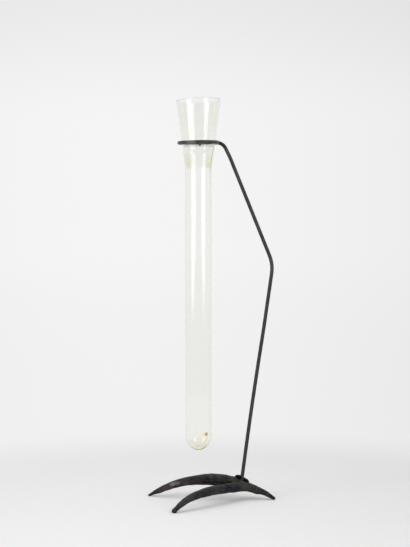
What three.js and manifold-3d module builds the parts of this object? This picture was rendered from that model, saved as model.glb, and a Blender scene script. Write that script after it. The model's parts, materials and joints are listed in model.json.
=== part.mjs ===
// A bud vase: a glass tube with a funnel mouth hangs in a ring at the top of a bent iron rod.
// The rod is welded on a forged foot with three toes, like a bird's foot.
// Millimetres, +Z up. +X points from the tube to the rod's elbow, and the front toe reaches towards -Y.
// The origin is the middle of the vase's outer box, on the surface that the toes stand on.

import * as THREE from "three";
import { mergeVertices } from "three/addons/utils/BufferGeometryUtils.js";
import Module from "manifold-3d";

// Glass tube
const TUBE_DIAMETER = 26;
const TUBE_LENGTH = 349; // from the round bottom to the top of the lip
const GLASS_WALL = 1.4;
const FUNNEL_HEIGHT = 69; // from the neck to the top of the lip
const FUNNEL_DIAMETER = 43.4; // outside, over the lip
const LIP_THICKNESS = 2.4; // the rolled edge of the mouth
const TUBE_ABOVE_FLOOR = 53;
const LIP_ABOVE_RING = 43.7; // from the middle of the ring's rod to the top of the lip

// Rod, from its foot on the hub to the end of the ring
const ROD_DIAMETER = 3.5;
const STEM_FOOT_OFFSET = -3.2; // along X from the hub's axis, where the stem meets the hub's middle
const ELBOW_OFFSET = 28.6; // along X from the hub's axis
const ELBOW_HEIGHT = 237;
const ELBOW_RADIUS = 36;
const SHOULDER_RADIUS = 8;
const SHOULDER_TO_TUBE = 25.5; // along X, from the shoulder's corner to the tube's axis
const TUBE_OFFSET = -45.9; // the tube's axis along X from the hub's axis
const RING_SEAT_CLEARANCE = 0.3; // between the funnel and the ring
const RING_SPIRAL_ANGLE = 120; // degrees over which the rod winds in to the ring's own radius

// Welds: the hub between the toes, the beads beside the stem's foot, and the tack on the ring
const HUB_HEIGHT = 13; // of the hub's middle
const HUB_RADIUS = 8.5;
const HUB_DEPTH = 11.5;
const HUB_SHIFT = -1.5; // along X from the point where the toes' lines cross
const BEAD_WIDTH = 7;
// Each bead's middle is given from the stem's axis, and its tilt in degrees down to +X.
const LEFT_BEAD = { offset: -3.8, height: 22.2, tilt: 8, length: 7, depth: 4 };
const RIGHT_BEAD = { offset: 4.6, height: 18.4, tilt: 43, length: 8, depth: 3.2 };
const TACK_LENGTH = 2.4;
const TACK_WIDTH = 5;
const TACK_DEPTH = 2.8;
const TACK_OFFSET = 1.5; // along X from the ring's end
const WELD_GAP = 0.3; // between a weld and the pieces that it joins

// Toes. A heading is in degrees from +X towards +Y, seen from above.
// Each place along a toe gives its distance out from the hub, its middle height, its depth and its width.
// The tip's height follows from its depth, its slope and the flat that is ground under it.
const TIP_GRIND = 0.7; // depth of the flat ground under each tip
const TOE_SQUARENESS = 2.8; // 2 is an oval bar, and more is squarer

const REAR_TOE_HEADING = 171.6;
const REAR_TOE_ROOT = { out: 6, height: 16.2, depth: 11.4, width: 11 };
const REAR_TOE_CREST = { out: 30, height: 18.8, depth: 12, width: 11 };
const REAR_TOE_BROW = { out: 58, height: 16.3, depth: 8.6, width: 9.5 };
const REAR_TOE_ANKLE = { out: 80, height: 9.3, depth: 6.9, width: 7 };
const REAR_TOE_TIP = { out: 98.4, depth: 2.4, width: 3.4 };

const FRONT_TOE_HEADING = 226.5;
const FRONT_TOE_ROOT = { out: 6, height: 12.7, depth: 9.8, width: 9.5 };
const FRONT_TOE_CREST = { out: 42, height: 14.7, depth: 9.4, width: 9 };
const FRONT_TOE_BROW = { out: 73, height: 12.5, depth: 7.4, width: 7.5 };
const FRONT_TOE_ANKLE = { out: 91.5, height: 7, depth: 5.1, width: 6 };
const FRONT_TOE_TIP = { out: 102, depth: 3.6, width: 4.4 };

const BACK_TOE_HEADING = -9.5;
const BACK_TOE_ROOT = { out: 6, height: 11.5, depth: 9.2, width: 9.5 };
const BACK_TOE_BROW = { out: 14, height: 9, depth: 7.1, width: 8 };
const BACK_TOE_ANKLE = { out: 22, height: 6.2, depth: 5.1, width: 6.4 };
const BACK_TOE_TIP = { out: 31.5, depth: 3, width: 4 };

// How finely curves are cut into flat faces
const LATHE_SEGMENTS = 40;
const ARC_POINTS = 5; // half the steps of a profile's arc
const ROD_SIDES = 10;
const ROD_STEP = 4; // along the rod
const TOE_SIDES = 14;
const TOE_STEPS = 14;
const WELD_SEGMENTS = 20;
const MERGE_DISTANCE = 1e-4;
const CUTTER_SIZE = 4 * TUBE_LENGTH; // larger than anything that it cuts

// Sizes that follow from those above
const tubeRadius = TUBE_DIAMETER / 2;
const funnelRadius = FUNNEL_DIAMETER / 2;
const lipRadius = LIP_THICKNESS / 2;
const rodRadius = ROD_DIAMETER / 2;
const ringHeight = TUBE_ABOVE_FLOOR + TUBE_LENGTH - LIP_ABOVE_RING;
const funnelSlope = (funnelRadius - tubeRadius) / (FUNNEL_HEIGHT - lipRadius);
const funnelRadiusAtRing = tubeRadius + funnelSlope * (FUNNEL_HEIGHT - LIP_ABOVE_RING);
const seatReach = (rodRadius + RING_SEAT_CLEARANCE) / Math.cos(Math.atan(funnelSlope));
const ringRadius = funnelRadiusAtRing + seatReach;
const ringLap = ROD_DIAMETER + WELD_GAP; // the rod runs on past the ring's end, side by side
const tubeAxis = new THREE.Vector2(TUBE_OFFSET, -ringRadius - ringLap);

const wasm = await Module();
wasm.setup();

// A closed geometry as a solid that can be cut.
function solidOf(geometry) {
  const bare = geometry.clone();
  bare.deleteAttribute("normal");
  bare.deleteAttribute("uv");
  const merged = mergeVertices(bare, MERGE_DISTANCE);
  const mesh = new wasm.Mesh({
    numProp: 3,
    vertProperties: merged.attributes.position.array,
    triVerts: new Uint32Array(merged.index.array),
  });
  return new wasm.Manifold(mesh);
}

// A cut solid as a geometry again.
function geometryOf(solid) {
  const mesh = solid.getMesh();
  const geometry = new THREE.BufferGeometry();
  geometry.setAttribute("position", new THREE.BufferAttribute(mesh.vertProperties, 3));
  geometry.setIndex(new THREE.BufferAttribute(mesh.triVerts, 1));
  geometry.computeVertexNormals();
  return geometry;
}

// Everything on the far side of an upright plane at a distance from the hub's axis.
function halfSpace(direction, distance) {
  const box = new THREE.BoxGeometry(CUTTER_SIZE, CUTTER_SIZE, CUTTER_SIZE);
  box.translate(distance + CUTTER_SIZE / 2, 0, 0);
  box.rotateZ(direction);
  return solidOf(box);
}

// Everything below the surface that the vase stands on.
function underFloor() {
  const box = new THREE.BoxGeometry(CUTTER_SIZE, CUTTER_SIZE, CUTTER_SIZE);
  box.translate(0, 0, -CUTTER_SIZE / 2);
  return solidOf(box);
}

// A closed skin over rings of points, with a flat end at each side.
function loft(rings) {
  const count = rings[0].length;
  const last = (rings.length - 1) * count;
  const faces = [];
  for (let ring = 0; ring < last; ring += count) {
    for (let i = 0; i < count; i += 1) {
      const a = ring + i;
      const b = ring + ((i + 1) % count);
      faces.push(a, b, b + count, a, b + count, a + count);
    }
  }
  for (let i = 1; i + 1 < count; i += 1) {
    faces.push(0, i + 1, i, last, last + i, last + i + 1);
  }
  const geometry = new THREE.BufferGeometry().setFromPoints(rings.flat());
  geometry.setIndex(faces);
  geometry.computeVertexNormals();
  return geometry;
}

// The glass turns round its own axis, with its bottom at the origin.
function glassTubeGeometry() {
  const innerRadius = tubeRadius - GLASS_WALL;
  const neckHeight = TUBE_LENGTH - FUNNEL_HEIGHT;
  const lipHeight = TUBE_LENGTH - lipRadius;
  const lipMiddle = funnelRadius - lipRadius;
  const funnelAngle = Math.atan(funnelSlope);
  const profile = new THREE.Path();
  profile.absarc(0, tubeRadius, tubeRadius, -Math.PI / 2, 0, false);
  profile.lineTo(tubeRadius, neckHeight);
  profile.absarc(lipMiddle, lipHeight, lipRadius, -funnelAngle, Math.PI - funnelAngle, false);
  profile.lineTo(innerRadius, neckHeight);
  profile.absarc(0, tubeRadius, innerRadius, 0, -Math.PI / 2, true);
  const geometry = new THREE.LatheGeometry(profile.getPoints(ARC_POINTS), LATHE_SEGMENTS);
  return geometry.rotateX(Math.PI / 2);
}

// A round bend between two straight runs of rod that meet at a corner.
class Bend extends THREE.Curve {
  constructor(before, corner, after, radius) {
    super();
    const back = before.clone().sub(corner).normalize();
    const on = after.clone().sub(corner).normalize();
    const halfAngle = back.angleTo(on) / 2;
    const reach = radius / Math.tan(halfAngle);
    this.start = corner.clone().addScaledVector(back, reach);
    this.end = corner.clone().addScaledVector(on, reach);
    const middle = back.clone().add(on).normalize();
    this.centre = corner.clone().addScaledVector(middle, radius / Math.sin(halfAngle));
    this.turn = Math.PI - 2 * halfAngle;
  }
  getPoint(t) {
    const fromStart = this.start.clone().sub(this.centre);
    const fromEnd = this.end.clone().sub(this.centre);
    fromStart.multiplyScalar(Math.sin((1 - t) * this.turn) / Math.sin(this.turn));
    fromEnd.multiplyScalar(Math.sin(t * this.turn) / Math.sin(this.turn));
    return this.centre.clone().add(fromStart).add(fromEnd);
  }
}

// The ring leaves the straight rod on a tangent, winds in, and goes once round to end beside the rod.
class RingLoop extends THREE.Curve {
  getPoint(t) {
    const angle = 2 * Math.PI * t;
    const wound = THREE.MathUtils.smoothstep(360 * t, 0, RING_SPIRAL_ANGLE);
    const radius = ringRadius + ringLap * (1 - wound);
    return new THREE.Vector3(
      tubeAxis.x - radius * Math.sin(angle),
      tubeAxis.y + radius * Math.cos(angle),
      ringHeight,
    );
  }
}

const stemFoot = new THREE.Vector3(STEM_FOOT_OFFSET, 0, HUB_HEIGHT);
const elbow = new THREE.Vector3(ELBOW_OFFSET, 0, ELBOW_HEIGHT);
const shoulder = new THREE.Vector3(TUBE_OFFSET + SHOULDER_TO_TUBE, 0, ringHeight);
const ringStart = new THREE.Vector3(TUBE_OFFSET, 0, ringHeight);

// The rod's middle line: stem, elbow, arm, shoulder and ring.
function rodPath() {
  const elbowBend = new Bend(stemFoot, elbow, shoulder, ELBOW_RADIUS);
  const shoulderBend = new Bend(elbow, shoulder, ringStart, SHOULDER_RADIUS);
  const path = new THREE.CurvePath();
  path.add(new THREE.LineCurve3(stemFoot, elbowBend.start));
  path.add(elbowBend);
  path.add(new THREE.LineCurve3(elbowBend.end, shoulderBend.start));
  path.add(shoulderBend);
  path.add(new THREE.LineCurve3(shoulderBend.end, ringStart));
  path.add(new RingLoop());
  return path;
}

// The rod as a tube along its middle line, with its surface moved out by growth.
function rodSolid(growth) {
  const path = rodPath();
  const section = new THREE.Shape();
  section.absarc(0, 0, rodRadius + growth, 0, 2 * Math.PI, false);
  const tube = new THREE.ExtrudeGeometry(section, {
    extrudePath: path,
    steps: Math.ceil(path.getLength() / ROD_STEP),
    curveSegments: ROD_SIDES / 2,
  });
  return solidOf(tube);
}

// One point of a toe's section: an oval with squared shoulders.
function sectionPoint(angle, width, depth) {
  const power = 2 / TOE_SQUARENESS;
  const across = Math.sign(Math.cos(angle)) * Math.abs(Math.cos(angle)) ** power;
  const up = Math.sign(Math.sin(angle)) * Math.abs(Math.sin(angle)) ** power;
  return new THREE.Vector2((across * width) / 2, (up * depth) / 2);
}

// A whole toe bar from its root to its tip, with its surface moved out by growth.
function toeBar(toe, growth) {
  const ankle = toe.stations.at(-1);
  const slope = Math.atan2(ankle.height, toe.tip.out - ankle.out);
  const tipHeight = (toe.tip.depth / 2) * Math.cos(slope) - TIP_GRIND;
  const stations = [...toe.stations, { ...toe.tip, height: tipHeight }];
  const line = new THREE.SplineCurve(stations.map((s) => new THREE.Vector2(s.out, s.height)));
  const girth = new THREE.SplineCurve(stations.map((s) => new THREE.Vector2(s.width, s.depth)));
  const rings = [];
  for (let step = 0; step <= TOE_STEPS; step += 1) {
    const t = step / TOE_STEPS;
    const tangent = line.getTangent(t);
    const middle = line.getPoint(t);
    if (step === 0) middle.addScaledVector(tangent, -growth);
    if (step === TOE_STEPS) middle.addScaledVector(tangent, growth);
    const size = girth.getPoint(t);
    const ring = [];
    for (let side = 0; side < TOE_SIDES; side += 1) {
      const angle = (2 * Math.PI * side) / TOE_SIDES;
      const point = sectionPoint(angle, size.x + 2 * growth, size.y + 2 * growth);
      const out = middle.x - tangent.y * point.y;
      const height = middle.y + tangent.x * point.y;
      ring.push(new THREE.Vector3(out, point.x, height));
    }
    rings.push(ring);
  }
  const geometry = loft(rings);
  geometry.rotateZ(THREE.MathUtils.degToRad(toe.heading));
  return solidOf(geometry);
}

// The weld between the toes, with its surface moved out by growth.
function hubSolid(growth) {
  const geometry = new THREE.SphereGeometry(1, WELD_SEGMENTS, WELD_SEGMENTS / 2);
  geometry.rotateX(Math.PI / 2);
  geometry.scale(HUB_RADIUS + growth, HUB_RADIUS + growth, HUB_DEPTH / 2 + growth);
  geometry.translate(HUB_SHIFT, 0, HUB_HEIGHT);
  return solidOf(geometry);
}

const toes = {
  rear_toe: {
    heading: REAR_TOE_HEADING,
    stations: [REAR_TOE_ROOT, REAR_TOE_CREST, REAR_TOE_BROW, REAR_TOE_ANKLE],
    tip: REAR_TOE_TIP,
  },
  front_toe: {
    heading: FRONT_TOE_HEADING,
    stations: [FRONT_TOE_ROOT, FRONT_TOE_CREST, FRONT_TOE_BROW, FRONT_TOE_ANKLE],
    tip: FRONT_TOE_TIP,
  },
  back_toe: {
    heading: BACK_TOE_HEADING,
    stations: [BACK_TOE_ROOT, BACK_TOE_BROW, BACK_TOE_ANKLE],
    tip: BACK_TOE_TIP,
  },
};

// A toe stands flat on the floor, stops at the hub's weld, and is mitred against its neighbours.
function toeSolid(toe) {
  let solid = toeBar(toe, 0).subtract(underFloor()).subtract(hubSolid(WELD_GAP));
  for (const neighbour of Object.values(toes)) {
    if (neighbour === toe) continue;
    const apart = THREE.MathUtils.euclideanModulo(neighbour.heading - toe.heading + 180, 360) - 180;
    const mitre = toe.heading + apart / 2 + 90 * Math.sign(apart);
    solid = solid.subtract(halfSpace(THREE.MathUtils.degToRad(mitre), -WELD_GAP / 2));
  }
  return solid;
}

// A bead beside the foot of the stem, cut clear of what it joins.
function stemBeadSolid(bead) {
  const stem = elbow.clone().sub(stemFoot);
  const rise = (bead.height - stemFoot.z) / stem.z;
  const middle = stemFoot.clone().addScaledVector(stem, rise);
  const lump = new THREE.SphereGeometry(1, WELD_SEGMENTS, WELD_SEGMENTS / 2);
  lump.scale(bead.length / 2, BEAD_WIDTH / 2, bead.depth / 2);
  lump.rotateY(THREE.MathUtils.degToRad(bead.tilt));
  lump.translate(middle.x + bead.offset, middle.y, middle.z);
  let solid = solidOf(lump).subtract(rodSolid(WELD_GAP)).subtract(hubSolid(WELD_GAP));
  for (const toe of Object.values(toes)) {
    solid = solid.subtract(toeBar(toe, WELD_GAP));
  }
  return solid;
}

// The tack under the ring, across the rod and the ring's end beside it.
function ringTackSolid() {
  const tack = new THREE.SphereGeometry(1, WELD_SEGMENTS, WELD_SEGMENTS / 2);
  tack.scale(TACK_LENGTH / 2, TACK_WIDTH / 2, TACK_DEPTH / 2);
  tack.translate(ringStart.x + TACK_OFFSET, ringStart.y - ringLap / 2, ringHeight - rodRadius);
  return solidOf(tack).subtract(rodSolid(WELD_GAP));
}

// A named piece with its own material.
function piece(name, geometry, colour, roughness, metalness) {
  const material = new THREE.MeshStandardMaterial({ color: colour, roughness, metalness });
  const mesh = new THREE.Mesh(geometry, material);
  mesh.name = name;
  return mesh;
}

function glassTube() {
  const tube = piece("glass_tube", glassTubeGeometry(), 0xe4ebe6, 0.04, 0);
  tube.material.transparent = true;
  tube.material.opacity = 0.35;
  tube.position.set(tubeAxis.x, tubeAxis.y, TUBE_ABOVE_FLOOR);
  return tube;
}

function stand() {
  const group = new THREE.Group();
  const stem = rodSolid(0).subtract(hubSolid(WELD_GAP));
  group.add(piece("stem_rod", geometryOf(stem), 0x3a3937, 0.55, 0.8));
  for (const [name, toe] of Object.entries(toes)) {
    group.add(piece(name, geometryOf(toeSolid(toe)), 0x413f3d, 0.5, 0.8));
  }
  group.add(piece("toe_weld", geometryOf(hubSolid(0)), 0x464640, 0.6, 0.8));
  group.add(piece("left_stem_weld", geometryOf(stemBeadSolid(LEFT_BEAD)), 0x151514, 0.7, 0.6));
  group.add(piece("right_stem_weld", geometryOf(stemBeadSolid(RIGHT_BEAD)), 0x151514, 0.7, 0.6));
  group.add(piece("ring_tack_weld", geometryOf(ringTackSolid()), 0x1c1b1a, 0.7, 0.6));
  return group;
}

// The pieces are laid out from the hub's axis, and the whole is then centred on its outer box.
const assembly = new THREE.Group();
assembly.add(stand());
assembly.add(glassTube());
const outerBox = new THREE.Box3().setFromObject(assembly, true);
const middle = outerBox.getCenter(new THREE.Vector3());
assembly.position.set(-middle.x, -middle.y, 0);

const vase = new THREE.Group();
vase.add(assembly);

export default vase;
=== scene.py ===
"""Looks of a bud vase: a glass tube hangs in the ring of a bent iron rod on a forged bird's-foot stand.

Metres, +Z up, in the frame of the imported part. Each piece made here stands for one node of the part.
A pair of values for where something sets in says where it starts and where it is full.
"""

import json
import math

import bmesh
import bpy
import numpy as np
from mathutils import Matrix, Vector, noise

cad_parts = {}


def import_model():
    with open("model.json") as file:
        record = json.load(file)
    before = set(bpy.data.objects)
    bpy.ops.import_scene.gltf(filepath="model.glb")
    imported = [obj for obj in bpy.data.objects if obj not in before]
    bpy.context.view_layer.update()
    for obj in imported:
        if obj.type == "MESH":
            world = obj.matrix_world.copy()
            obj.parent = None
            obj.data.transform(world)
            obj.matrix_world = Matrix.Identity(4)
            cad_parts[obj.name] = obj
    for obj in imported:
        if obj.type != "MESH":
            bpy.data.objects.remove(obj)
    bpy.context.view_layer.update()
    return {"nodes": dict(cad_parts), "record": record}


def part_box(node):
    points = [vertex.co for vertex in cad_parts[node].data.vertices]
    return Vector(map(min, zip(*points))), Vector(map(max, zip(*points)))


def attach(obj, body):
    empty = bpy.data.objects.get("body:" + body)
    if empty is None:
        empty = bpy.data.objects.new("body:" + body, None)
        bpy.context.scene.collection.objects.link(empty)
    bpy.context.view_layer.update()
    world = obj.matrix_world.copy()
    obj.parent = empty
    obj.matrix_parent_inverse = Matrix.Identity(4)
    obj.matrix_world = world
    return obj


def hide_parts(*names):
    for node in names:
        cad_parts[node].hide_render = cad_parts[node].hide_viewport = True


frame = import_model()

MM = 0.001

# Camera, at the photograph's viewing angle
FRAME_HEIGHT_PIXELS = 547
FOCAL_PIXELS = 1650
SENSOR_MM = 36
CAMERA_FROM_TUBE = (6.4 * MM, -1628.6 * MM)  # across and in depth, from the tube's axis
CAMERA_HEIGHT = 320 * MM
CAMERA_DOWN = 3.2  # degrees below level

# Studio: tones that the camera sees behind the vase, and the level of the light
BACKDROP_LOW = 0.911  # tone of the backdrop at the horizon
BACKDROP_HIGH = 0.815  # and above it
BACKDROP_FADE = (0.03, 0.13)  # upward slopes between which the one turns into the other
BACKDROP_BRIGHTEST = -0.05  # slope to the side at which the backdrop is brightest
BACKDROP_REACH = 0.3  # slope from there over which it falls off
BACKDROP_EDGE = 0.90  # share of its tone that is left beyond that
FLOOR_TONE = 0.915
FLOOR_GLOW = 0.882  # tone of the floor behind the vase
FLOOR_RINGS = (6.0, 1.0, 0.5, 0.2)  # radii of its rings of points, the floor's edge first
FLOOR_SIDES = 96
FLOOR_FADE = (0.24, 0.50)  # distances from the vase between which the lit floor turns into the glow
PAPER_GRAIN = 12 * MM
PAPER_GRAIN_EDGE = (0.2, 0.8)  # values of the noise between which the grain turns from dark to pale
PAPER_GRAIN_DIM = 0.99  # share of the floor's tone in the dark grain
ROOM_LEVEL = 0.45  # what the room gives from all sides
ROOM_ABOVE_CAMERA = 0.15  # share of the backdrop's tone that glosses show from the dim room there
DIM_ROOM_DEPTH = (0.4, -0.2)  # slopes to the back between which the dim room sets in
DIM_ROOM_UP = (0.1, 0.3)  # and upward slopes
SIDE_BOX_LEVEL = 2.9
SIDE_BOX_HEIGHT = 0.98
SIDE_BOX_AWAY = 1.0
SIDE_BOX_SOFT = 0.10  # share of a side box's height over which its lower edge fades
# A side box turns by degrees from the camera's direction, seen from the tube, and low is its lower edge.
LEFT_BOX = {"turn": -53, "width": 0.50, "low": 0.08}
RIGHT_BOX = {"turn": 40, "width": 0.46, "low": 0.15}
TOP_BOX_SIZE = (2.4, 2.4)
TOP_BOX_LEVEL = 0.50
TOP_BOX_PLACE = (0.0, 0.3, 1.3)
TOP_BOX_AIM = (0.0, -0.0001, -1.0)  # straight down but for a hair, so that the lamp's own turn is certain

# Glass tube
TUBE_RADIUS = 13 * MM
GLASS_WALL = 1.4 * MM
BOTTOM_WALL = 1.0 * MM  # at the lowest point: the bottom was blown thinner than the wall
FUNNEL_HEIGHT = 69 * MM
LIP_RADIUS = 0.72 * MM
LIP_FOOT = 2.2 * LIP_RADIUS  # below the rim, where the wall turns into the lip
LIP_TINTED = 1.5 * LIP_RADIUS  # below the rim, down to which the lip has its own tint
NECK_BLEND = 5 * MM  # length over which the tube turns into the funnel
RIM_DROP = (0.55 * MM, 4.15 * MM)  # the hand-finished rim's least and greatest drop below a level rim
RIM_LOW_SIDE = math.radians(115)  # heading of the rim's lowest point, from +X to +Y
GLASS_SIDES = 384
BOWL_STEPS = 32
TUBE_STEPS = 29
FUNNEL_STEPS = 35
LIP_STEPS = 12

# Clear glass: its tints, the marks that water and dust left on it, and a painted shadow of the ring
GLASS_INDEX = 1.47  # index of refraction
GLASS_TINT = (0.985, 0.988, 0.980)
GLASS_CLOUD = 9 * MM  # size of the faint clouds on the glass
GLASS_CLOUD_DIM = 0.99  # share of the tint that is left in the densest cloud
GLASS_DEPTH_TINT = (0.866, 0.875, 0.77)
GLASS_DEPTH_DENSITY = 100
CLEAR_TINT = (0.995, 0.997, 0.992)
CLEAR_HEIGHT = (115 * MM, 98 * MM)  # the tube is clearer towards its bottom
LIP_TINT = (0.985, 0.985, 0.97)
FUNNEL_SIDES_TINT = (0.965, 0.966, 0.945)
FUNNEL_SIDES_HEIGHT = (366 * MM, 376 * MM)
FUNNEL_SIDES_ASIDE = (11 * MM, 15 * MM)  # to either side of the axis
NECK_STAIN_LEFT = (0.90, 0.892, 0.785)
NECK_STAIN_RIGHT = (0.905, 0.912, 0.785)
NECK_STAIN_LOW = (331 * MM, 335 * MM)  # heights of the ring of dried water, from below
NECK_STAIN_HIGH = (354 * MM, 337 * MM)  # and from above
NECK_STAIN_ASIDE = (6 * MM, 10 * MM)  # to either side of the axis
NECK_STAIN_TURN = (-2 * MM, 2 * MM)  # across the axis, where the left tint turns into the right one
NECK_STAIN_CLOUD = (0.15, 0.5)  # values of the clouds' noise
# painted shadow: a grey band on the glass just under the ring
RING_SHADOW_TINT = (0.80, 0.80, 0.79)
RING_SHADOW_LOW = (352.5 * MM, 355.6 * MM)  # heights of the painted shadow of the ring, from below
RING_SHADOW_HIGH = (357.6 * MM, 356.6 * MM)  # and from above
SEDIMENT_TINT = (0.985, 0.95, 0.846)
SEDIMENT_HEIGHT = (62 * MM, 56 * MM)
# Marks in millimetres: place from the tube's axis and the floor, and radius; then tint
GLASS_MARKS = (
    ((5.9, -11.6, 68.6), 5.4, (0.985, 0.93, 0.74)),
    ((8.0, -10.2, 66.6), 2.6, (0.985, 0.91, 0.68)),
    ((8.0, -10.2, 70.6), 2.5, (0.30, 0.20, 0.03)),
    ((-10.4, -7.8, 76.5), 2.0, (0.93, 0.93, 0.91)),
    ((14.2, -11.8, 376), 3.0, (0.945, 0.94, 0.89)),
    ((5.9, -11.6, 161.5), 0.9, (0.86, 0.85, 0.82)),
    ((-2.1, -12.8, 158.5), 0.8, (0.88, 0.87, 0.84)),
)

# Rod: corners of its middle line, across from the tube's axis and up, in the plane where the ring starts
ROD_RADIUS = 1.83 * MM
STEM_FOOT = (42.7 * MM, 13 * MM)
ELBOW = (74.5 * MM, 237 * MM)
ELBOW_BEND = 36 * MM
SHOULDER = (25.5 * MM, 358.3 * MM)
SHOULDER_BEND = 8 * MM
RING_RADIUS = 18.31 * MM
RING_LAP = 3.8 * MM
RING_WINDS_IN = math.radians(120)
RING_SAG = 0.6 * MM  # by which the hand-bent ring hangs lower on the side away from the stem
SHOULDER_PULL = 1.45 * MM  # by which the shoulder's hand-made bend is nearer to the tube
SHOULDER_EASE = 16 * MM  # height below the shoulder over which the arm comes back to its line
SHOULDER_EASE_POWER = 1.3  # above 1 the pull fades faster near the shoulder
STEM_BOW = 0.65 * MM  # the hand-bent stem bows a little to the tube's side
STEM_BOW_END = 0.75  # share of the stem's length, from its foot, that bows
ROD_UNEVEN = 0.05 * MM
ROD_UNEVEN_SIZE = 5 * MM
ROD_SIDES = 24
ROD_STEP = 0.8 * MM
BEND_STEPS_LEAST = 8

# Forged foot
TOE_VOXEL = 0.5 * MM
WELD_VOXEL = 0.3 * MM
WELD_GAP = 0.2 * MM  # by which the solids grow to close the gaps between them
MERGE_DISTANCE = 0.001 * MM
FILLET = 1.6 * MM  # between the toes and the weld that joins them
ROOT_REACH = 15 * MM  # distance from the hub at which the weld turns into the toes
TIP_REACH = 6 * MM  # around each toe's tip, where the bar is rounded off
BLOW_SIZE = 8 * MM
BLOW_DEPTH = 0.45 * MM
BLOW_MEAN = 0.55  # value of the blows' noise at which the surface stays where it is
SCALE_SIZE = 1.6 * MM
SCALE_DEPTH = 0.06 * MM
BEAD_GROWTH = 0.2 * MM
BEAD_LUMP_SIZE = 2.4 * MM
BEAD_LUMP_DEPTH = 0.5 * MM
SMOOTH_STEPS = (0.5, -0.52)  # a step towards the neighbours' mean, and a step back out
MELT_SHARE = 0.8  # greatest step towards the neighbours' mean where ridges melt together
FOOT_SMOOTH_ROUNDS = 20
ROOT_MELT_ROUNDS = 40
TIP_MELT_ROUNDS = 14
BEAD_SMOOTH_ROUNDS = 10
# Blows that moved the bars a little, in millimetres: place from the hub, reach, and rise
BLOWS = (
    ((-83, 10, -8.5), 5.5, -0.6),
    ((-89.5, 11, -10.5), 3.5, 0.8),
    ((-12.5, 1, 10), 7, -0.7),
    ((12.5, -4, -7), 5, -0.6),
    ((-20, -23, 6), 9, -0.9),
    ((-69, -74, -8), 5, 1.3),
)

# Iron: its grain and its gloss
PATCH_DETAIL = 1.0  # detail of the noise that draws patches
CLOUD_DETAIL = 3.0  # clouds
GRAIN_DETAIL = 4.0  # and grain
GRAIN_EDGE = (0.3, 0.7)  # values of the grain's noise between which the surface turns rougher
GRAIN_BUMP = 0.2
GRAIN_DEPTH = 0.2 * MM
ROUGHNESS_SPREAD = 0.08  # by which the grain makes a surface rougher or smoother
FOOT_GRAIN = 1.0 * MM
FOOT_ROUGHNESS = 0.52
FOOT_GLOSS = 0.06  # these are below 0.5, because scale and wax dull the metal
ROD_GRAIN = 0.8 * MM
ROD_ROUGHNESS = 0.40
ROD_GLOSS = 0.12
WELD_GRAIN = 0.6 * MM
WELD_ROUGHNESS = 0.7
WELD_GLOSS = 0.05

# Iron: raised edges that hands and tables have rubbed
WEAR_PERCENTILE = 95  # of how far the surface is raised, for what counts as an edge
WEAR_LEAST = 1e-9  # keeps a flat mesh from a division by zero
ROD_WEAR = 0.25  # wear of an edge that is raised so far
FOOT_WEAR = 0.5
BEAD_WEAR = 0.3
RUBBED = (0.11, 0.108, 0.11)
RUBBED_EDGE = (0.3, 0.6)  # values of the grain's noise

# Iron: tints
# black scale; in the crease by the hub it is painted shade
BLACK_SCALE_AND_SHADE = (0.0045, 0.0045, 0.0047)
SCALE_PINK = (0.048, 0.0335, 0.037)
SCALE_DARK = (0.0150, 0.0143, 0.0150)
# painted shade on the rear toe's side, below its crest
PAINTED_SIDE_SHADE = (0.0050, 0.0040, 0.0050)
SCALE_RUSSET = (0.019, 0.0135, 0.0145)
SCALE_GREY = (0.022, 0.022, 0.0215)
SCALE_BLUE = (0.0125, 0.0114, 0.0172)
SCALE_BROWN = (0.048, 0.036, 0.037)
SCALE_DEEP_BLUE = (0.0048, 0.0038, 0.0092)
SCALE_OLIVE = (0.028, 0.028, 0.025)
# painted light on the rear toe's crest, which faces the light from above
PAINTED_CREST_LIGHT = (0.048, 0.048, 0.048)
GROUND_OLIVE = (0.039, 0.039, 0.034)
# painted light: tops that face up are paler, where the light from above falls on them
PAINTED_TOP_LIGHT = (0.038, 0.038, 0.038)
ROD_BLACK = (0.026, 0.026, 0.0265)
ROD_GREY = (0.052, 0.052, 0.0545)
# painted highlight, where the ring's front would mirror the left box
ROD_PAINTED_HIGHLIGHT = (0.13, 0.13, 0.13)
# painted shade, at the shoulder and on the ring's right side
ROD_SHADED = (0.010, 0.010, 0.010)
WELD_BLACK = (0.002, 0.002, 0.002)
WELD_RUBBED = (0.008, 0.008, 0.008)

# Iron: patches of scale on the foot, and the rod where it is held
SCALE_PATCH = 6 * MM
SCALE_PATCH_EDGE = (0.4, 0.6)
BROWN_ACROSS = (0 * MM, -16 * MM)  # across, where the brown scale of the long toes sets in
BROWN_DEPTH = (-15 * MM, 15 * MM)  # in depth, where it gets stronger
BROWN_LEAST = 0.15  # share of it on the front toe
BROWN_PATCH = 7 * MM
BROWN_PATCH_EDGE = (0.3, 0.55)
TOP_LIGHT_FACING = (0.6, 0.9)  # how far a surface looks up, where the painted light on the tops sets in
TOP_LIGHT_PATCH = 5 * MM
TOP_LIGHT_PATCH_EDGE = (0.35, 0.65)
BLOTCH_SIZE = 7 * MM
BLOTCH_REACH = 0.8 * MM  # by which a blotch's edge wanders
HELD_PATCH = 16 * MM
HELD_PATCH_EDGE = (0.35, 0.65)
HELD_HEIGHT = (150 * MM, 280 * MM)
HELD_LEAST = 0.4  # share of the rubbed tone that is left below
MARK_CORE = 0.35  # share of a mark's radius within which its tint is full

# Iron: marks, in millimetres. On the rod, a painted highlight on the ring's front and painted shade at the
# shoulder and on the ring's right side: place from the tube's axis and the floor, and radius; then tint
ROD_PAINTED_LIGHT_MARKS = (
    ((-7.5, -17.5, 358), 7, ROD_PAINTED_HIGHLIGHT),
    ((22.5, 21, 356.5), 8, ROD_SHADED),
    ((18, 3, 358), 8, ROD_SHADED),
)
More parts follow.
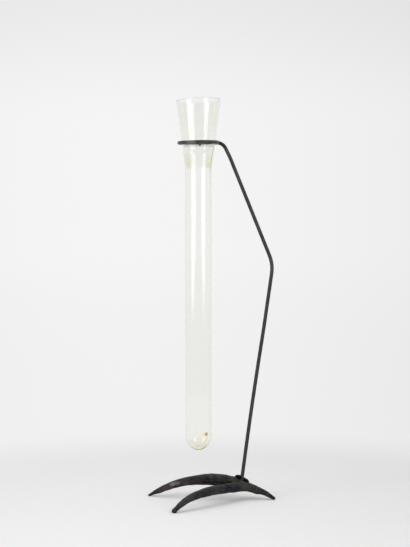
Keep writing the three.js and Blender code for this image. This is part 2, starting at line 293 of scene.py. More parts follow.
# Blotches of the forge's scale on the foot, the ground weld, painted light on the rear toe's crest and
# painted shade on its side below: place from the hub, radius and tint
SCALE_AND_PAINTED_LIGHT_MARKS = (
    ((-29, -34, 1), 9, SCALE_OLIVE),
    ((0, -6, 1), 15, GROUND_OLIVE),
    ((-10, -3, 4), 8, GROUND_OLIVE),
    ((-42, -48, 1.5), 12, SCALE_BLUE),
    ((23, -7, -5), 8.5, SCALE_BLUE),
    ((-48, 2, 4), 11, SCALE_RUSSET),
    ((-36, -1, 3), 9, PAINTED_SIDE_SHADE),
    ((-27, -3, 1.5), 9, PAINTED_SIDE_SHADE),
    ((-32, 4, 11), 6.5, PAINTED_CREST_LIGHT),
    ((-23, 3, 10), 6.5, PAINTED_CREST_LIGHT),
    ((-54, -60, 0), 6, SCALE_PINK),
    ((-68, -74, -10), 8, BLACK_SCALE_AND_SHADE),
    ((32, -6, -10), 10, BLACK_SCALE_AND_SHADE),
    ((-78, 8, -2.8), 7, SCALE_PINK),
    ((-90, 11, -9), 10, SCALE_DARK),
)
# Dark scale over the painted light on the tops, painted shade in the crease where the rear toe meets the
# front toe, and two black marks just under the rear toe's painted highlight
DARK_SCALE_AND_SHADE_MARKS = (
    ((-17, -20, 0), 11, SCALE_DEEP_BLUE),
    ((-8, -13, -1), 8.5, SCALE_DEEP_BLUE),
    ((-18, -4, 2.5), 4.5, BLACK_SCALE_AND_SHADE),
    ((-22, -2, 3.8), 3.4, BLACK_SCALE_AND_SHADE),
    ((-15.3, -2.9, 3.6), 3.0, BLACK_SCALE_AND_SHADE),
    ((-12.4, -3.8, 4.2), 2.2, BLACK_SCALE_AND_SHADE),
    ((-62, 5.8, -1.2), 4.0, BLACK_SCALE_AND_SHADE),
    ((-68, 6.5, -1.8), 3.0, BLACK_SCALE_AND_SHADE),
)
# A painted highlight: a soft streak on the rear toe where its facet would mirror the left box, brightest at
# its middle
PAINTED_HIGHLIGHT_CORE = 0.0
PAINTED_HIGHLIGHT_MARKS = (
    ((-65.0, 6, 2.0), 3.0, (0.125, 0.118, 0.12)),
    ((-67.6, 6.2, 1.3), 3.0, (0.135, 0.130, 0.133)),
    ((-72.6, 6.7, 0.3), 2.8, (0.15, 0.146, 0.15)),
    ((-70.4, 6.5, 0.6), 3.0, (0.21, 0.206, 0.21)),
)


# Mesh helpers

def link_object(name, mesh):
    made = bpy.data.objects.new(name, mesh)
    bpy.context.scene.collection.objects.link(made)
    return made


def smooth_shaded(mesh):
    mesh.polygons.foreach_set("use_smooth", [True] * len(mesh.polygons))
    mesh.update()


def object_from(name, points, faces):
    mesh = bpy.data.meshes.new(name)
    mesh.from_pydata([tuple(p) for p in points], [], faces)
    smooth_shaded(mesh)
    return link_object(name, mesh)


def points_of(mesh):
    flat = np.empty(len(mesh.vertices) * 3)
    mesh.vertices.foreach_get("co", flat)
    return flat.reshape(-1, 3)


def normals_of(mesh):
    flat = np.empty(len(mesh.vertices) * 3)
    mesh.vertex_normals.foreach_get("vector", flat)
    return flat.reshape(-1, 3)


def set_points(mesh, points):
    mesh.vertices.foreach_set("co", points.ravel())
    mesh.update()


def neighbour_mean(mesh, values):
    """The mean of each vertex's neighbours."""
    ends = np.empty(len(mesh.edges) * 2, dtype=int)
    mesh.edges.foreach_get("vertices", ends)
    a, b = ends.reshape(-1, 2).T
    total = np.zeros_like(values)
    np.add.at(total, a, values[b])
    np.add.at(total, b, values[a])
    count = np.bincount(ends, minlength=len(values))
    return total / count[:, None]


def smooth_surface(mesh, rounds):
    """Evens out the surface without shrinking it: each step in is followed by a step out."""
    points = points_of(mesh)
    for _ in range(rounds):
        for share in SMOOTH_STEPS:
            points += share * (neighbour_mean(mesh, points) - points)
    set_points(mesh, points)


def skin(sides, rings):
    """Faces between rings that have as many points each, and one flat face over each end."""
    faces = []
    for ring in range(rings - 1):
        low = ring * sides
        high = low + sides
        for i in range(sides):
            j = (i + 1) % sides
            faces.append((low + i, low + j, high + j, high + i))
    faces.append(tuple(reversed(range(sides))))
    faces.append(tuple(range((rings - 1) * sides, rings * sides)))
    return faces


def solids_of(nodes, growth):
    """The solids of some nodes in one mesh, with their faces moved out by growth."""
    joined = bmesh.new()
    for node in nodes:
        joined.from_mesh(frame["nodes"][node].data)
    bmesh.ops.remove_doubles(joined, verts=joined.verts, dist=MERGE_DISTANCE)
    joined.normal_update()
    for vertex in joined.verts:
        vertex.co += vertex.normal * growth
    mesh = bpy.data.meshes.new("solids")
    joined.to_mesh(mesh)
    joined.free()
    return mesh


def even_skin(mesh, voxel):
    """One skin of even small faces over everything in a mesh."""
    holder = link_object("skin", mesh)
    remesh = holder.modifiers.new("even_skin", "REMESH")
    remesh.mode = "VOXEL"
    remesh.voxel_size = voxel
    shown = holder.evaluated_get(bpy.context.evaluated_depsgraph_get())
    made = bpy.data.meshes.new_from_object(shown)
    bpy.data.objects.remove(holder)
    made.materials.clear()
    return made


def dress(piece, material, body, node):
    """Gives a piece its material, sets it on the body that it rides on, and hides the node that it stands
    for.
    """
    piece.data.materials.append(material)
    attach(piece, body)
    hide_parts(node)


def middle_of(node):
    low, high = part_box(node)
    return (low + high) / 2


# Material helpers

def add_node(tree, kind, inputs=(), **settings):
    """A shader node with its settings made and its inputs set or linked."""
    made = tree.nodes.new("ShaderNode" + kind)
    for name, value in settings.items():
        setattr(made, name, value)
    for socket, value in dict(inputs).items():
        if isinstance(value, bpy.types.NodeSocket):
            tree.links.new(value, made.inputs[socket])
        else:
            made.inputs[socket].default_value = value
    return made


def new_material(name):
    material = bpy.data.materials.new(name)
    material.use_nodes = True
    tree = material.node_tree
    tree.nodes.clear()
    return material, tree


def surface(tree, shader):
    output = tree.nodes.new("ShaderNodeOutputMaterial")
    tree.links.new(shader, output.inputs["Surface"])
    return output


def object_place(tree):
    return add_node(tree, "TexCoord").outputs["Object"]


def noise_of(tree, place, size, detail):
    """Smooth noise from 0 to 1 whose lumps are about one size across."""
    made = add_node(tree, "TexNoise", {"Vector": place, "Scale": 1 / size, "Detail": detail})
    return made.outputs["Fac"]


def ramp(tree, value, low, high, start=0.0, end=1.0):
    """The value from low to high, as a number that runs smoothly from start to end."""
    inputs = {"Value": value, "From Min": low, "From Max": high, "To Min": start, "To Max": end}
    made = add_node(tree, "MapRange", inputs, interpolation_type="SMOOTHSTEP")
    return made.outputs["Result"]


def patches_of(tree, place, size, edge, detail=PATCH_DETAIL):
    """1 in patches of about one size and 0 between them, with edges between two values of the noise."""
    return ramp(tree, noise_of(tree, place, size, detail), *edge)


def reckon(tree, operation, *values):
    """A sum with one or two numbers."""
    return add_node(tree, "Math", dict(enumerate(values)), operation=operation).outputs[0]


def multiply(tree, a, b):
    return reckon(tree, "MULTIPLY", a, b)


def mix_number(tree, share, a, b):
    return add_node(tree, "Mix", {0: share, 2: a, 3: b}).outputs[0]


def mix_colour(tree, share, a, b):
    made = add_node(tree, "Mix", data_type="RGBA")
    for socket, value in ((0, share), (6, a), (7, b)):
        if isinstance(value, bpy.types.NodeSocket):
            tree.links.new(value, made.inputs[socket])
        else:
            made.inputs[socket].default_value = value if socket == 0 else (*value, 1)
    return made.outputs[2]


def near(tree, place, centre, inner, outer):
    """1 within the inner distance of a point and 0 beyond the outer one."""
    away = add_node(tree, "VectorMath", {0: place, 1: centre}, operation="DISTANCE").outputs["Value"]
    return ramp(tree, away, inner, outer, 1.0, 0.0)


def wobbled(tree, place, size, reach):
    """A place moved about by smooth noise, so that what is drawn round it gets an uneven edge."""
    lumps = add_node(tree, "TexNoise", {"Vector": place, "Scale": 1 / size, "Detail": PATCH_DETAIL})
    inputs = {0: lumps.outputs["Color"], 1: (0.5, 0.5, 0.5)}
    centred = add_node(tree, "VectorMath", inputs, operation="SUBTRACT").outputs[0]
    moved = add_node(tree, "VectorMath", {0: centred, "Scale": 2 * reach}, operation="SCALE").outputs[0]
    return add_node(tree, "VectorMath", {0: place, 1: moved}, operation="ADD").outputs[0]


def marked(tree, colour, place, origin, marks, core=MARK_CORE):
    """A colour with round marks over it, each with its place from an origin, its radius and its tint."""
    for centre, radius, tint in marks:
        reach = MM * radius
        share = near(tree, place, origin + MM * Vector(centre), core * reach, reach)
        colour = mix_colour(tree, share, colour, tint)
    return colour


# Materials

def iron_shader(tree, colour, fine, rough, gloss):
    """A satin surface with a fine grain."""
    roughness = ramp(tree, fine, *GRAIN_EDGE, rough - ROUGHNESS_SPREAD, rough + ROUGHNESS_SPREAD)
    bump = add_node(tree, "Bump", {"Height": fine, "Strength": GRAIN_BUMP, "Distance": GRAIN_DEPTH})
    inputs = {"Base Color": colour, "Roughness": roughness, "Normal": bump.outputs["Normal"]}
    shader = add_node(tree, "BsdfPrincipled", {**inputs, "Specular IOR Level": gloss})
    surface(tree, shader.outputs["BSDF"])


def rubbed_edges(tree, fine):
    """1 where raised edges have been rubbed bright, from the mesh's own mark."""
    wear = add_node(tree, "Attribute", attribute_name="wear").outputs["Fac"]
    return multiply(tree, wear, ramp(tree, fine, *RUBBED_EDGE))


def forged_iron(hub):
    """Forge-blackened iron: grey, blue and brown scale on the toes, an olive ground weld, rubbed edges;
    painted light on the tops and a painted highlight on the rear toe, and painted shade on its side and in
    the crease by the hub.
    """
    material, tree = new_material("forged_iron")
    place = object_place(tree)
    parts = add_node(tree, "SeparateXYZ", {0: place})
    fine = noise_of(tree, place, FOOT_GRAIN, GRAIN_DETAIL)
    grey_patches = patches_of(tree, place, SCALE_PATCH, SCALE_PATCH_EDGE)
    colour = mix_colour(tree, grey_patches, SCALE_DARK, SCALE_GREY)
    outer = ramp(tree, parts.outputs["X"], *BROWN_ACROSS)
    rear = ramp(tree, parts.outputs["Y"], *BROWN_DEPTH, BROWN_LEAST, 1.0)
    brown_patches = patches_of(tree, place, BROWN_PATCH, BROWN_PATCH_EDGE)
    brown = multiply(tree, multiply(tree, outer, rear), brown_patches)
    colour = mix_colour(tree, brown, colour, SCALE_BROWN)
    blotchy = wobbled(tree, place, BLOTCH_SIZE, BLOTCH_REACH)
    # Scale blotches and the ground weld, with painted light on the rear toe's crest and painted shade on its
    # side
    colour = marked(tree, colour, blotchy, hub, SCALE_AND_PAINTED_LIGHT_MARKS)
    # Painted light: surfaces that face up get a paler tone, in patches.
    normal = add_node(tree, "NewGeometry").outputs["Normal"]
    facing = add_node(tree, "SeparateXYZ", {0: normal}).outputs["Z"]
    top_light_patches = patches_of(tree, place, TOP_LIGHT_PATCH, TOP_LIGHT_PATCH_EDGE)
    top_light = multiply(tree, ramp(tree, facing, *TOP_LIGHT_FACING), top_light_patches)
    colour = mix_colour(tree, top_light, colour, PAINTED_TOP_LIGHT)
    # Dark scale, and painted shade in the crease by the hub
    colour = marked(tree, colour, blotchy, hub, DARK_SCALE_AND_SHADE_MARKS)
    # Painted highlight on the rear toe
    colour = marked(tree, colour, place, hub, PAINTED_HIGHLIGHT_MARKS, PAINTED_HIGHLIGHT_CORE)
    colour = mix_colour(tree, rubbed_edges(tree, fine), colour, RUBBED)
    iron_shader(tree, colour, fine, FOOT_ROUGHNESS, FOOT_GLOSS)
    return material


def rod_iron(axis):
    """Blackened round rod, a little paler where hands have held it, with a painted highlight on the ring's
    front and painted shade at the shoulder and on the ring's right side.
    """
    material, tree = new_material("rod_iron")
    place = object_place(tree)
    fine = noise_of(tree, place, ROD_GRAIN, GRAIN_DETAIL)
    height = add_node(tree, "SeparateXYZ", {0: place}).outputs["Z"]
    held = patches_of(tree, place, HELD_PATCH, HELD_PATCH_EDGE, CLOUD_DETAIL)
    held = multiply(tree, held, ramp(tree, height, *HELD_HEIGHT, HELD_LEAST, 1.0))
    colour = mix_colour(tree, held, ROD_BLACK, ROD_GREY)
    # painted highlight on the ring's front, and painted shade at the shoulder and on the ring's right side
    colour = marked(tree, colour, place, Vector((axis.x, axis.y, 0)), ROD_PAINTED_LIGHT_MARKS)
    colour = mix_colour(tree, rubbed_edges(tree, fine), colour, RUBBED)
    iron_shader(tree, colour, fine, ROD_ROUGHNESS, ROD_GLOSS)
    return material


def weld_iron():
    """Rough black weld metal."""
    material, tree = new_material("weld_metal")
    fine = noise_of(tree, object_place(tree), WELD_GRAIN, GRAIN_DETAIL)
    colour = mix_colour(tree, rubbed_edges(tree, fine), WELD_BLACK, WELD_RUBBED)
    iron_shader(tree, colour, fine, WELD_ROUGHNESS, WELD_GLOSS)
    return material


def clear_glass(axis):
    """Clear glass, faintly green in its depth, with the marks of dried water and a painted shadow under the
    ring.
    """
    material, tree = new_material("clear_glass")
    place = object_place(tree)
    parts = add_node(tree, "SeparateXYZ", {0: place})
    height = parts.outputs["Z"]
    across = reckon(tree, "SUBTRACT", parts.outputs["X"], axis.x)
    aside = reckon(tree, "ABSOLUTE", across)
    clouds = noise_of(tree, place, GLASS_CLOUD, CLOUD_DETAIL)
    colour = mix_colour(tree, clouds, GLASS_TINT, tuple(GLASS_CLOUD_DIM * c for c in GLASS_TINT))
    colour = mix_colour(tree, ramp(tree, height, *CLEAR_HEIGHT), colour, CLEAR_TINT)
    ring = multiply(tree, ramp(tree, height, *NECK_STAIN_LOW), ramp(tree, height, *NECK_STAIN_HIGH))
    sides = multiply(tree, ring, ramp(tree, aside, *NECK_STAIN_ASIDE))
    stained = multiply(tree, sides, ramp(tree, clouds, *NECK_STAIN_CLOUD))
    stain = mix_colour(tree, ramp(tree, across, *NECK_STAIN_TURN), NECK_STAIN_LEFT, NECK_STAIN_RIGHT)
    colour = mix_colour(tree, stained, colour, stain)
    # Painted shadow of the ring, as a grey band just under it
    ring_shadow = multiply(tree, ramp(tree, height, *RING_SHADOW_LOW), ramp(tree, height, *RING_SHADOW_HIGH))
    colour = mix_colour(tree, ring_shadow, colour, RING_SHADOW_TINT)
    funnel = ramp(tree, height, *FUNNEL_SIDES_HEIGHT)
    funnel = multiply(tree, funnel, ramp(tree, aside, *FUNNEL_SIDES_ASIDE))
    colour = mix_colour(tree, funnel, colour, FUNNEL_SIDES_TINT)
    colour = mix_colour(tree, ramp(tree, height, *SEDIMENT_HEIGHT), colour, SEDIMENT_TINT)
    colour = marked(tree, colour, place, Vector((axis.x, axis.y, 0)), GLASS_MARKS)
    lip = add_node(tree, "Attribute", attribute_name="lip").outputs["Fac"]
    colour = mix_colour(tree, lip, colour, LIP_TINT)
    inputs = {"Base Color": colour, "Roughness": 0.0, "IOR": GLASS_INDEX, "Transmission Weight": 1.0}
    shader = add_node(tree, "BsdfPrincipled", inputs)
    inputs = {"Color": (*GLASS_DEPTH_TINT, 1), "Density": GLASS_DEPTH_DENSITY}
    depth = add_node(tree, "VolumeAbsorption", inputs)
    output = surface(tree, shader.outputs["BSDF"])
    tree.links.new(depth.outputs["Volume"], output.inputs["Volume"])
    return material


# Glass

def glass_profile(bottom, top, funnel_radius):
    """Radius and height from the outside of the bottom, over the lip, to the inside of the bottom."""
    neck = top - FUNNEL_HEIGHT
    slope = (funnel_radius - TUBE_RADIUS) / (FUNNEL_HEIGHT - LIP_RADIUS)
    lean = math.atan(slope)

    def wall(height, radius):
        past = height - neck
        half = NECK_BLEND / 2
        if past <= -half:
            return radius
        if past < half:
            return radius + slope * (past + half) ** 2 / (2 * NECK_BLEND)
        return radius + slope * past

    def bowl(radius, centre, angles):
        return [(radius * math.cos(a), centre + radius * math.sin(a)) for a in angles]

    low = bottom + TUBE_RADIUS
    blend_start = neck - NECK_BLEND / 2
    lip_centre = (funnel_radius - LIP_RADIUS, top - LIP_RADIUS)
    inner = TUBE_RADIUS - GLASS_WALL
    quarter = np.linspace(-math.pi / 2, 0, BOWL_STEPS + 1)
    tube_heights = np.linspace(low, blend_start, TUBE_STEPS + 1)[1:]
    funnel_heights = np.linspace(blend_start, top - LIP_FOOT, FUNNEL_STEPS + 1)[1:]
    heights = [*tube_heights, *funnel_heights]
    profile = bowl(TUBE_RADIUS, low, quarter[1:])
    profile += [(wall(h, TUBE_RADIUS), h) for h in heights]
    for angle in np.linspace(-lean, math.pi - lean, LIP_STEPS + 1):
        across = lip_centre[0] + LIP_RADIUS * math.cos(angle)
        profile.append((across, lip_centre[1] + LIP_RADIUS * math.sin(angle)))
    profile += [(wall(h, inner), h) for h in reversed(heights)]
    profile += bowl(inner, bottom + BOTTOM_WALL + inner, quarter[:0:-1])
    return profile


def glass_tube():
    """The blown tube, turned from its profile, with a rim that drops to one side."""
    low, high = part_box("glass_tube")
    axis = middle_of("glass_tube")
    funnel_radius = (high.x - low.x) / 2
    neck = high.z - FUNNEL_HEIGHT
    turn = np.linspace(0, 2 * math.pi, GLASS_SIDES, endpoint=False)
    low_side = (1 + np.cos(turn - RIM_LOW_SIDE)) / 2
    profile = glass_profile(low.z, high.z, funnel_radius)
    least, greatest = RIM_DROP
    points = []
    lip = []
    for radius, height in profile:
        rise = max(0.0, (height - neck) / FUNNEL_HEIGHT)
        drop = rise * (least + (greatest - least) * low_side)
        for x, y, down in zip(radius * np.cos(turn), radius * np.sin(turn), drop):
            points.append((axis.x + x, axis.y + y, height - down))
            lip.append(1.0 if height > high.z - LIP_TINTED else 0.0)
    faces = skin(GLASS_SIDES, len(profile))[:-2]
    outside_tip = len(points)
    inside_tip = outside_tip + 1
    points.append((axis.x, axis.y, low.z))
    points.append((axis.x, axis.y, low.z + BOTTOM_WALL))
    lip += [0.0, 0.0]
    inside = (len(profile) - 1) * GLASS_SIDES
    for i in range(GLASS_SIDES):
        j = (i + 1) % GLASS_SIDES
        faces.append((outside_tip, j, i))
        faces.append((inside_tip, inside + i, inside + j))
    piece = object_from("glass_tube_blown", points, faces)
    mark = piece.data.attributes.new("lip", "FLOAT", "POINT")
    mark.data.foreach_set("value", lip)
    piece.visible_shadow = False  # clear glass lets the light through
    dress(piece, clear_glass(axis), "tube", "glass_tube")


# Rod

def bend(before, corner, after, radius):
    """Points of a round bend between two straight runs that meet at a corner."""
    back = (before - corner).normalized()
    on = (after - corner).normalized()
    half = back.angle(on) / 2
    centre = corner + (back + on).normalized() * radius / math.sin(half)
    start = corner + back * radius / math.tan(half) - centre
    turn = math.pi - 2 * half
    axis = back.cross(on).normalized()
    across = axis.cross(start)
    steps = max(BEND_STEPS_LEAST, int(radius * turn / ROD_STEP))
    angles = np.linspace(0, -turn, steps + 1)
    return [centre + start * math.cos(a) + across * math.sin(a) for a in angles]


def straight(start, end):
    """Points between the ends of a straight run, without the ends."""
    steps = max(1, int((end - start).length / ROD_STEP))
    return [start.lerp(end, i / steps) for i in range(1, steps)]


def ring_loop(axis):
    """The ring leaves the rod on a tangent, winds in, and goes once round to end beside the rod."""
    made = []
    steps = int(2 * math.pi * RING_RADIUS / ROD_STEP)
    for step in range(1, steps + 1):
        angle = 2 * math.pi * step / steps
        wound = min(1.0, angle / RING_WINDS_IN)
        wound = wound * wound * (3 - 2 * wound)
        radius = RING_RADIUS + RING_LAP * (1 - wound)
        x = axis.x - radius * math.sin(angle)
        z = SHOULDER[1] - RING_SAG * max(0.0, math.sin(angle))
        made.append(Vector((x, axis.y + radius * math.cos(angle), z)))
    return made


def rod_line(axis):
    """Points of the rod's middle line, from the stem's foot to the ring's end."""
    plane = axis.y + RING_RADIUS + RING_LAP
    foot, elbow, shoulder = (Vector((axis.x + x, plane, z)) for x, z in (STEM_FOOT, ELBOW, SHOULDER))
    ring_start = Vector((axis.x, plane, SHOULDER[1]))
    elbow_bend = bend(foot, elbow, shoulder, ELBOW_BEND)
    shoulder_bend = bend(elbow, shoulder, ring_start, SHOULDER_BEND)
    stem = [foot, *straight(foot, elbow_bend[0])]
    for i, point in enumerate(stem):
        along = min(1.0, i / len(stem) / STEM_BOW_END)
        point.x -= STEM_BOW * math.sin(math.pi * along)
    arm = straight(elbow_bend[-1], shoulder_bend[0])
    for point in arm + shoulder_bend:
        below = (SHOULDER[1] - point.z) / SHOULDER_EASE
        point.x -= SHOULDER_PULL * max(0.0, 1 - below) ** SHOULDER_EASE_POWER
    top = [*straight(shoulder_bend[-1], ring_start), ring_start]
    return stem + elbow_bend + arm + shoulder_bend + top + ring_loop(axis)


def stem_rod():
    """The bent rod, as a round skin along its middle line."""
    axis = middle_of("glass_tube")
    line = rod_line(axis)
    points = []
    side = Vector((0, 1, 0))
    for i, point in enumerate(line):
        ahead = line[min(i + 1, len(line) - 1)] - line[max(i - 1, 0)]
        ahead.normalize()
        side = (side - ahead * side.dot(ahead)).normalized()
        other = ahead.cross(side)
        for k in range(ROD_SIDES):
            angle = 2 * math.pi * k / ROD_SIDES
            out = side * math.cos(angle) + other * math.sin(angle)
            place = point + out * ROD_RADIUS
            uneven = ROD_UNEVEN * noise.noise(place / ROD_UNEVEN_SIZE)
            points.append(point + out * (ROD_RADIUS + uneven))
    piece = object_from("stem_rod_bent", points, skin(ROD_SIDES, len(line)))
    add_wear(piece.data, ROD_WEAR)
    piece.visible_glossy = False  # its mirror image would draw a dark line down the glass's edge
    dress(piece, rod_iron(axis), "stand", "stem_rod")


# Forged toes and welds

def add_wear(mesh, scale):
    """Marks raised edges, where hands and tables have rubbed the iron, as an attribute from 0 to 1."""
    points = points_of(mesh)
    raised = ((points - neighbour_mean(mesh, points)) * normals_of(mesh)).sum(axis=1)
    typical = np.percentile(np.abs(raised), WEAR_PERCENTILE) + WEAR_LEAST
    wear = np.clip(scale * raised / typical, 0, 1)
    mark = mesh.attributes.new("wear", "FLOAT", "POINT")
    mark.data.foreach_set("value", wear.astype(np.float32))


def hammer(mesh, depth, size):
    """Shallow dishes with soft ridges between them, as blows leave them, and a fine scale."""
    points = points_of(mesh)
    out = normals_of(mesh)
    moved = np.empty(len(points))
    for i, point in enumerate(points):
        place = Vector(point)
        dish = noise.voronoi(place / size)[0][0]
        fine = noise.noise(place / SCALE_SIZE)
        moved[i] = depth * (dish - BLOW_MEAN) + SCALE_DEPTH * fine
    points += out * moved[:, None]
    points[:, 2] = np.maximum(points[:, 2], 0)  # the floor is the lowest that it goes
    set_points(mesh, points)


def distance_from(centre, points):
    return np.linalg.norm(points - np.array(centre), axis=1)


def melt(mesh, centre, reach, rounds):
    """Smooths the surface near a point, so that ridges and grooves there run together."""
    points = points_of(mesh)
    fade = 2 * (1 - distance_from(centre, points) / reach)
    share = MELT_SHARE * np.clip(fade, 0, 1)[:, None]
    for _ in range(rounds):
        points += share * (neighbour_mean(mesh, points) - points)
    set_points(mesh, points)


def nudge(mesh, centre, reach, rise):
    """Moves the surface near a point up or down, most at the point itself."""
    points = points_of(mesh)
    share = np.clip(1 - (distance_from(centre, points) / reach) ** 2, 0, 1) ** 2
    points[:, 2] += rise * share
    set_points(mesh, points)


def foot_skin(hub):
    """The toes and the weld between them as one forged surface, with soft fillets where they meet."""
    solids = solids_of(("rear_toe", "front_toe", "back_toe", "toe_weld"), WELD_GAP)
    mesh = even_skin(solids, TOE_VOXEL)
    set_points(mesh, points_of(mesh) + FILLET * normals_of(mesh))
    mesh = even_skin(mesh, TOE_VOXEL)
    set_points(mesh, points_of(mesh) - (FILLET + WELD_GAP) * normals_of(mesh))
    smooth_surface(mesh, FOOT_SMOOTH_ROUNDS)
    melt(mesh, hub, ROOT_REACH, ROOT_MELT_ROUNDS)
    for mount in frame["record"]["mounts"]:
        melt(mesh, mount["pos_m"], TIP_REACH, TIP_MELT_ROUNDS)
    for centre, reach, rise in BLOWS:
        nudge(mesh, hub + MM * Vector(centre), MM * reach, MM * rise)
    hammer(mesh, BLOW_DEPTH, BLOW_SIZE)
    add_wear(mesh, FOOT_WEAR)
    return mesh


def cut_out(whole, faces, name):
    """Some faces of a mesh as an object of their own, closed where they were cut off."""
    piece = whole.copy()
    piece.faces.ensure_lookup_table()
    kept = set(faces)
    bmesh.ops.delete(piece, geom=[f for f in piece.faces if f.index not in kept], context="FACES")
    open_edges = [e for e in piece.edges if e.is_boundary]
    for edge in open_edges:
        edge.smooth = False
    bmesh.ops.holes_fill(piece, edges=open_edges, sides=0)
    mesh = bpy.data.meshes.new(name)
    piece.to_mesh(mesh)
    piece.free()
    smooth_shaded(mesh)
    return link_object(name, mesh)


def forged_foot():
    """Cuts the forged skin into the three toes and the ground weld between them."""
    hub = middle_of("toe_weld")
    outward = {}
    for mount in frame["record"]["mounts"]:
        away = Vector(mount["pos_m"]) - hub
        away.z = 0
        outward[mount["name"].removeprefix("rest_")] = away.normalized()
    whole = bmesh.new()
    whole.from_mesh(foot_skin(hub))
    for out in outward.values():
        every = [*whole.verts, *whole.edges, *whole.faces]
        bmesh.ops.bisect_plane(whole, geom=every, plane_co=hub + ROOT_REACH * out, plane_no=out)
    faces = {node: [] for node in (*outward, "toe_weld")}
    whole.faces.index_update()
    for face in whole.faces:
        away = face.calc_center_median() - hub
        reach, node = max((away.dot(out), node) for node, out in outward.items())
        faces[node if reach > ROOT_REACH else "toe_weld"].append(face.index)
    iron = forged_iron(hub)
    for node in outward:
        dress(cut_out(whole, faces[node], node + "_forged"), iron, "stand", node)
    weld = cut_out(whole, faces["toe_weld"], "toe_weld_ground")
    dress(weld, iron, "stand", "toe_weld")
    whole.free()


def weld_bead(node, material):
    """One lumpy weld bead, grown a little so that it reaches the bars that it joins."""
    mesh = even_skin(solids_of((node,), 0.0), WELD_VOXEL)
    smooth_surface(mesh, BEAD_SMOOTH_ROUNDS)
    set_points(mesh, points_of(mesh) + normals_of(mesh) * BEAD_GROWTH)
    hammer(mesh, BEAD_LUMP_DEPTH, BEAD_LUMP_SIZE)
    smooth_shaded(mesh)
    add_wear(mesh, BEAD_WEAR)
    dress(link_object(node + "_bead", mesh), material, "stand", node)


def stand():
    """Everything that is welded together: the rod, the forged foot and the beads."""
    stem_rod()
    forged_foot()
    black = weld_iron()
    for node in ("left_stem_weld", "right_stem_weld", "ring_tack_weld"):
        weld_bead(node, black)


# Studio

def seen_directly(tree):
    """1 for a ray from the camera, a gloss or through glass, and 0 for the light that falls on things."""
    path = add_node(tree, "LightPath")
    shown = path.outputs["Is Camera Ray"]
    for name in ("Is Glossy Ray", "Is Transmission Ray"):
        shown = reckon(tree, "MAXIMUM", shown, path.outputs[name])
    return shown


def grey(tone):
    return (tone, tone, tone, 1)


def falloff(tree, looking):
    """The share of a tone that the camera sees in a direction to the side of the brightest one."""
    side = add_node(tree, "SeparateXYZ", {0: looking}).outputs["X"]
    off = reckon(tree, "ABSOLUTE", reckon(tree, "SUBTRACT", side, BACKDROP_BRIGHTEST))
    left = ramp(tree, off, 0.0, BACKDROP_REACH, 1.0, BACKDROP_EDGE)
    from_camera = add_node(tree, "LightPath").outputs["Is Camera Ray"]
    return mix_number(tree, from_camera, 1.0, left)


def pale_paper():
    """Paper that is lit near the vase, and that glows like the backdrop further off."""
    material, tree = new_material("pale_paper")
    place = object_place(tree)
    noisy = noise_of(tree, place, PAPER_GRAIN, CLOUD_DETAIL)
    grain = ramp(tree, noisy, *PAPER_GRAIN_EDGE, PAPER_GRAIN_DIM * FLOOR_TONE, FLOOR_TONE)
    inputs = {0: place, 1: camera_place()}
    from_front = add_node(tree, "VectorMath", inputs, operation="SUBTRACT").outputs[0]
    looking = add_node(tree, "VectorMath", {0: from_front}, operation="NORMALIZE").outputs[0]
    left = falloff(tree, looking)
    # painted light: as the camera sees it, the lit paper's colour also falls off away from the brightest
    # side
    lit = add_node(tree, "BsdfDiffuse", {"Color": multiply(tree, grain, left)})
    away = add_node(tree, "VectorMath", {0: place}, operation="LENGTH").outputs["Value"]
    tone = ramp(tree, away, FLOOR_FADE[1], FLOOR_RINGS[0], FLOOR_GLOW, BACKDROP_LOW)
    glow = add_node(tree, "Emission", {"Color": multiply(tree, tone, left)})
    share = multiply(tree, ramp(tree, away, *FLOOR_FADE), seen_directly(tree))
    mixed = add_node(tree, "MixShader", {0: share, 1: lit.outputs[0], 2: glow.outputs[0]})
    surface(tree, mixed.outputs[0])
    return material


def floor():
    turn = np.linspace(0, 2 * math.pi, FLOOR_SIDES, endpoint=False)
    points = [(r * math.cos(a), r * math.sin(a), 0.0) for r in FLOOR_RINGS for a in turn]
    faces = skin(FLOOR_SIDES, len(FLOOR_RINGS))
    del faces[-2]  # the flat face over the first ring, which is the floor's edge
    piece = object_from("floor", points, faces)
    piece.data.materials.append(pale_paper())


def world():
    """An even light from the room, with a backdrop that the camera, glosses and glass see."""
    made = bpy.data.worlds.new("studio")
    bpy.context.scene.world = made
    made.use_nodes = True
    tree = made.node_tree
    tree.nodes.clear()
    room = add_node(tree, "Background", {"Color": grey(1), "Strength": ROOM_LEVEL})
    looking = add_node(tree, "TexCoord").outputs["Generated"]
    parts = add_node(tree, "SeparateXYZ", {0: looking})
    up = parts.outputs["Z"]
    tone = ramp(tree, up, *BACKDROP_FADE, BACKDROP_LOW, BACKDROP_HIGH)
    above = multiply(tree, ramp(tree, parts.outputs["Y"], *DIM_ROOM_DEPTH), ramp(tree, up, *DIM_ROOM_UP))
    dim_share = multiply(tree, add_node(tree, "LightPath").outputs["Is Glossy Ray"], above)
    dimmed = mix_number(tree, dim_share, 1.0, ROOM_ABOVE_CAMERA)
    tone = multiply(tree, tone, multiply(tree, dimmed, falloff(tree, looking)))
    backdrop = add_node(tree, "Background", {"Color": tone, "Strength": 1.0})
    inputs = {0: seen_directly(tree), 1: room.outputs[0], 2: backdrop.outputs[0]}
    mixed = add_node(tree, "MixShader", inputs)
    output = tree.nodes.new("ShaderNodeOutputWorld")
    tree.links.new(mixed.outputs[0], output.inputs["Surface"])


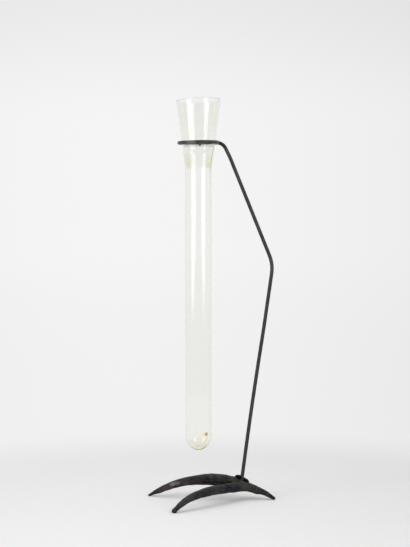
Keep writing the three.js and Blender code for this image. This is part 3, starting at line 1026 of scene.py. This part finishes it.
def softbox(name, place, target, size, level, soft):
    """A rectangular lamp with a soft lower edge, where level 1 is as bright as white paper in full light."""
    lamp = bpy.data.lights.new(name, "AREA")
    lamp.shape = "RECTANGLE"
    lamp.size, lamp.size_y = size
    lamp.energy = level * math.pi * size[0] * size[1]
    if soft:
        lamp.use_nodes = True
        tree = lamp.node_tree
        tree.nodes.clear()
        spot = add_node(tree, "NewGeometry").outputs["Parametric"]
        rise = add_node(tree, "SeparateXYZ", {0: spot}).outputs["Y"]
        shine = add_node(tree, "Emission", {"Color": grey(1), "Strength": ramp(tree, rise, 0.0, soft)})
        output = tree.nodes.new("ShaderNodeOutputLight")
        tree.links.new(shine.outputs[0], output.inputs["Surface"])
    made = link_object(name, lamp)
    made.location = place
    made.rotation_euler = (target - place).to_track_quat("-Z", "Y").to_euler()
    made.visible_camera = False


def lights():
    """A box on either side of the camera, and a wide one overhead."""
    tube = middle_of("glass_tube")
    for name, box in (("left_box", LEFT_BOX), ("right_box", RIGHT_BOX)):
        angle = math.radians(box["turn"])
        target = Vector((tube.x, tube.y, box["low"] + SIDE_BOX_HEIGHT / 2))
        place = target + SIDE_BOX_AWAY * Vector((math.sin(angle), -math.cos(angle), 0))
        softbox(name, place, target, (box["width"], SIDE_BOX_HEIGHT), SIDE_BOX_LEVEL, SIDE_BOX_SOFT)
    above = Vector(TOP_BOX_PLACE)
    softbox("top_box", above, above + Vector(TOP_BOX_AIM), TOP_BOX_SIZE, TOP_BOX_LEVEL, 0)


def camera_place():
    tube = middle_of("glass_tube")
    return Vector((tube.x + CAMERA_FROM_TUBE[0], tube.y + CAMERA_FROM_TUBE[1], CAMERA_HEIGHT))


def camera():
    lens = bpy.data.cameras.new("camera")
    lens.sensor_width = SENSOR_MM
    lens.lens = SENSOR_MM * FOCAL_PIXELS / FRAME_HEIGHT_PIXELS
    made = link_object("camera", lens)
    made.location = camera_place()
    made.rotation_euler = (math.radians(90 - CAMERA_DOWN), 0, 0)
    bpy.context.scene.camera = made


camera()
glass_tube()
stand()
floor()
world()
lights()
bpy.context.scene.view_settings.view_transform = "Standard"
